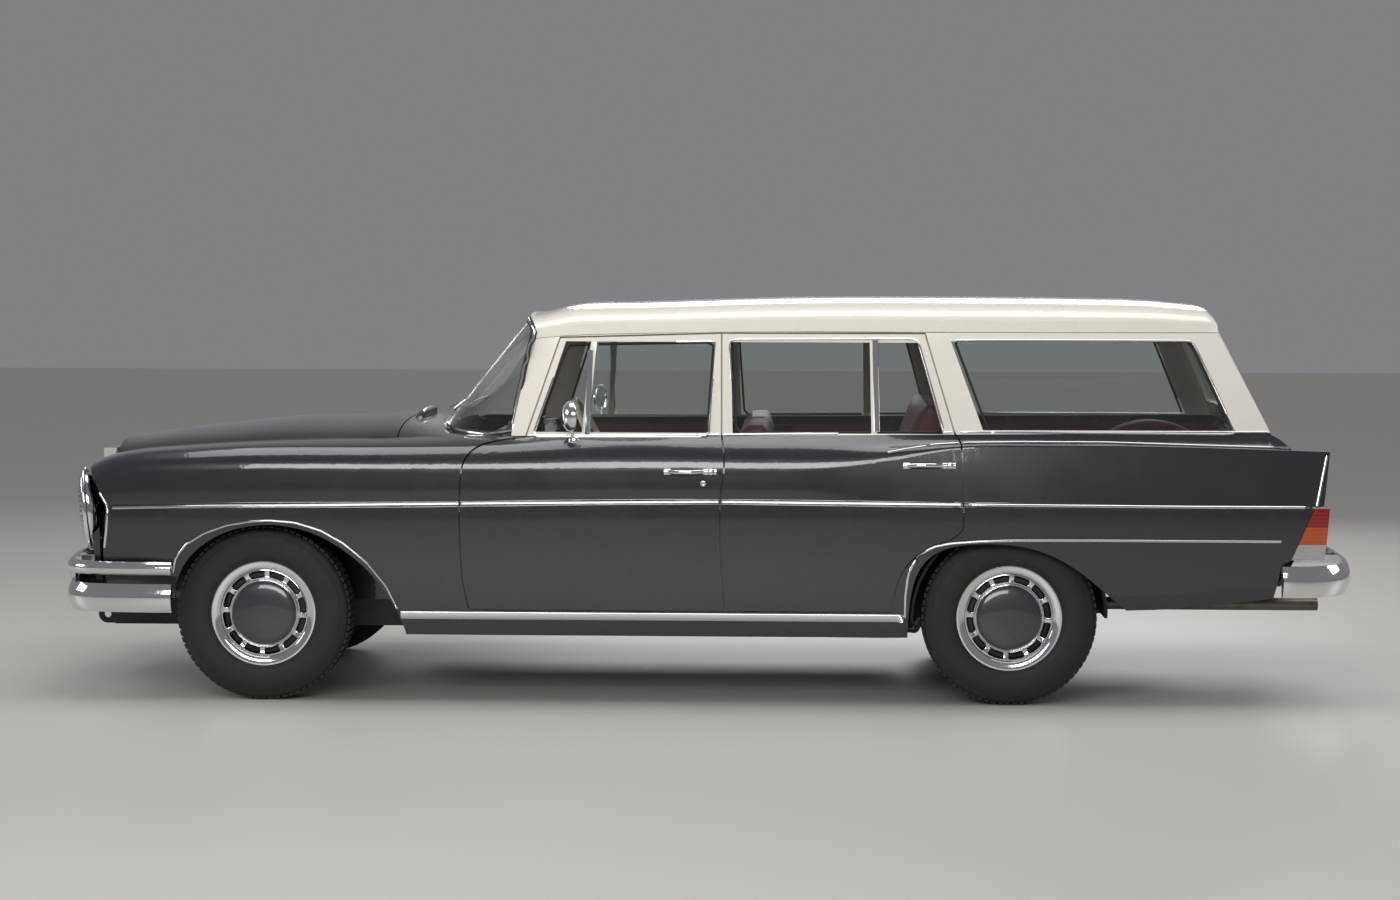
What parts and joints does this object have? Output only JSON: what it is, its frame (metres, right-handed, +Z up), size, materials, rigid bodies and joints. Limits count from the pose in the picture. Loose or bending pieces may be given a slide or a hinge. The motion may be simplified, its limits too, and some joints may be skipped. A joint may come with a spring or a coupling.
{
  "type": "station wagon",
  "caption": "Four-door station wagon with small tail fins, upright oval headlamps, panoramic windscreen, hinged doors, bonnet, hatch and tailgate, and steered wheels.",
  "frame": {"origin": "on the ground, at the middle of the overall length and width", "axes": "+Z up, nose towards -X, the car's left side towards -Y, lengthwise along X"},
  "size_m": [4.875, 1.7958, 1.4951],
  "materials": {
    "aluminised": "dull",
    "cast_iron": "rough",
    "chrome": "polished",
    "cream_paint": "gloss",
    "glass": "clear",
    "ivory": "smooth",
    "lamp_glass": "ribbed",
    "red_cloth": "soft",
    "red_leather": "satin",
    "rim_metal": "gloss",
    "slate_paint": "gloss",
    "steel": "satin",
    "tail_lens": "ribbed",
    "tyre_rubber": "matt",
    "wood": "varnished"
  },
  "bodies": {
    "body": {"wing_front_left": "slate_paint", "wing_front_right": "slate_paint", "nose_panel": "slate_paint", "bulkhead": "slate_paint", "side_frame_left": "slate_paint", "side_frame_right": "slate_paint", "floor_pan": "steel", "roof_panel": "cream_paint", "windscreen": "glass", "quarter_windows": "glass", "headlamps": "lamp_glass", "front_bumper": "chrome", "rear_bumper": "chrome", "tail_lamps": "tail_lens", "tail_panel": "slate_paint", "engine_block": "cast_iron", "front_seats": "red_leather", "rear_seat": "red_leather", "dashboard": "wood", "exhaust": "aluminised", "front_subframe": "steel", "rear_axle": "cast_iron", "fuel_tank": "steel", "spare_wheel_cover": "red_cloth", "load_trims": "red_leather", "bay_walls": "slate_paint"},
    "bonnet": {"bonnet": "slate_paint", "grille": "chrome"},
    "steering_wheel": {"steering_wheel": "ivory"},
    "tailgate": {"tailgate": "slate_paint"},
    "hatch": {"hatch": "cream_paint", "hatch_glass": "glass"},
    "knuckle_left": {"knuckle_left": "cast_iron"},
    "door_front_left": {"door_front_left": "slate_paint", "door_front_glass_left": "glass"},
    "wheel_front_left": {"tyre_front_left": "tyre_rubber", "rim_front_left": "rim_metal"},
    "door_rear_left": {"door_rear_left": "slate_paint", "door_rear_glass_left": "glass"},
    "wheel_rear_left": {"tyre_rear_left": "tyre_rubber", "rim_rear_left": "rim_metal"},
    "knuckle_right": {"knuckle_right": "cast_iron"},
    "door_front_right": {"door_front_right": "slate_paint", "door_front_glass_right": "glass"},
    "wheel_front_right": {"tyre_front_right": "tyre_rubber", "rim_front_right": "rim_metal"},
    "door_rear_right": {"door_rear_right": "slate_paint", "door_rear_glass_right": "glass"},
    "wheel_rear_right": {"tyre_rear_right": "tyre_rubber", "rim_rear_right": "rim_metal"}
  },
  "joints": [
    {"name": "steer_left", "type": "hinge", "parent": "body", "child": "knuckle_left", "pos_m": [-1.6255, -0.7, 0.322], "axis": [0, 0, 1], "range_deg": [-35, 35]},
    {"name": "wheel_front_left_spin", "type": "hinge", "parent": "knuckle_left", "child": "wheel_front_left", "pos_m": [-1.6255, -0.741, 0.322], "axis": [0, 1, 0], "continuous": true},
    {"name": "wheel_rear_left_spin", "type": "hinge", "parent": "body", "child": "wheel_rear_left", "pos_m": [1.1245, -0.741, 0.322], "axis": [0, 1, 0], "continuous": true},
    {"name": "door_front_left_hinge", "type": "hinge", "parent": "body", "child": "door_front_left", "pos_m": [-0.8905, -0.903, 0.65], "axis": [0, 0, -1], "range_deg": [0, 68]},
    {"name": "door_rear_left_hinge", "type": "hinge", "parent": "body", "child": "door_rear_left", "pos_m": [0.0625, -0.903, 0.65], "axis": [0, 0, -1], "range_deg": [0, 68]},
    {"name": "steer_right", "type": "hinge", "parent": "body", "child": "knuckle_right", "pos_m": [-1.6255, 0.7, 0.322], "axis": [0, 0, 1], "range_deg": [-35, 35]},
    {"name": "wheel_front_right_spin", "type": "hinge", "parent": "knuckle_right", "child": "wheel_front_right", "pos_m": [-1.6255, 0.741, 0.322], "axis": [0, 1, 0], "continuous": true},
    {"name": "wheel_rear_right_spin", "type": "hinge", "parent": "body", "child": "wheel_rear_right", "pos_m": [1.1245, 0.741, 0.322], "axis": [0, 1, 0], "continuous": true},
    {"name": "door_front_right_hinge", "type": "hinge", "parent": "body", "child": "door_front_right", "pos_m": [-0.8905, 0.903, 0.65], "axis": [0, 0, 1], "range_deg": [0, 68]},
    {"name": "door_rear_right_hinge", "type": "hinge", "parent": "body", "child": "door_rear_right", "pos_m": [0.0625, 0.903, 0.65], "axis": [0, 0, 1], "range_deg": [0, 68]},
    {"name": "steering_wheel_turn", "type": "hinge", "parent": "body", "child": "steering_wheel", "pos_m": [-0.4105, -0.38, 0.921], "axis": [0.8829, 0, 0.4695], "range_deg": [-525, 525]},
    {"name": "bonnet_hinge", "type": "hinge", "parent": "body", "child": "bonnet", "pos_m": [-1.1485, 0, 1.0345], "axis": [0, 1, 0], "range_deg": [0, 50]},
    {"name": "hatch_hinge", "type": "hinge", "parent": "body", "child": "hatch", "pos_m": [1.9045, 0, 1.394], "axis": [0, -1, 0], "range_deg": [0, 80]},
    {"name": "tailgate_hinge", "type": "hinge", "parent": "body", "child": "tailgate", "pos_m": [2.2445, 0, 0.579], "axis": [0, 1, 0], "range_deg": [0, 90]}
  ],
  "couplings": [
    {"joint": "steer_right", "follows": "steer_left", "ratio": 1},
    {"joint": "steering_wheel_turn", "follows": "steer_left", "ratio": 15}
  ]
}
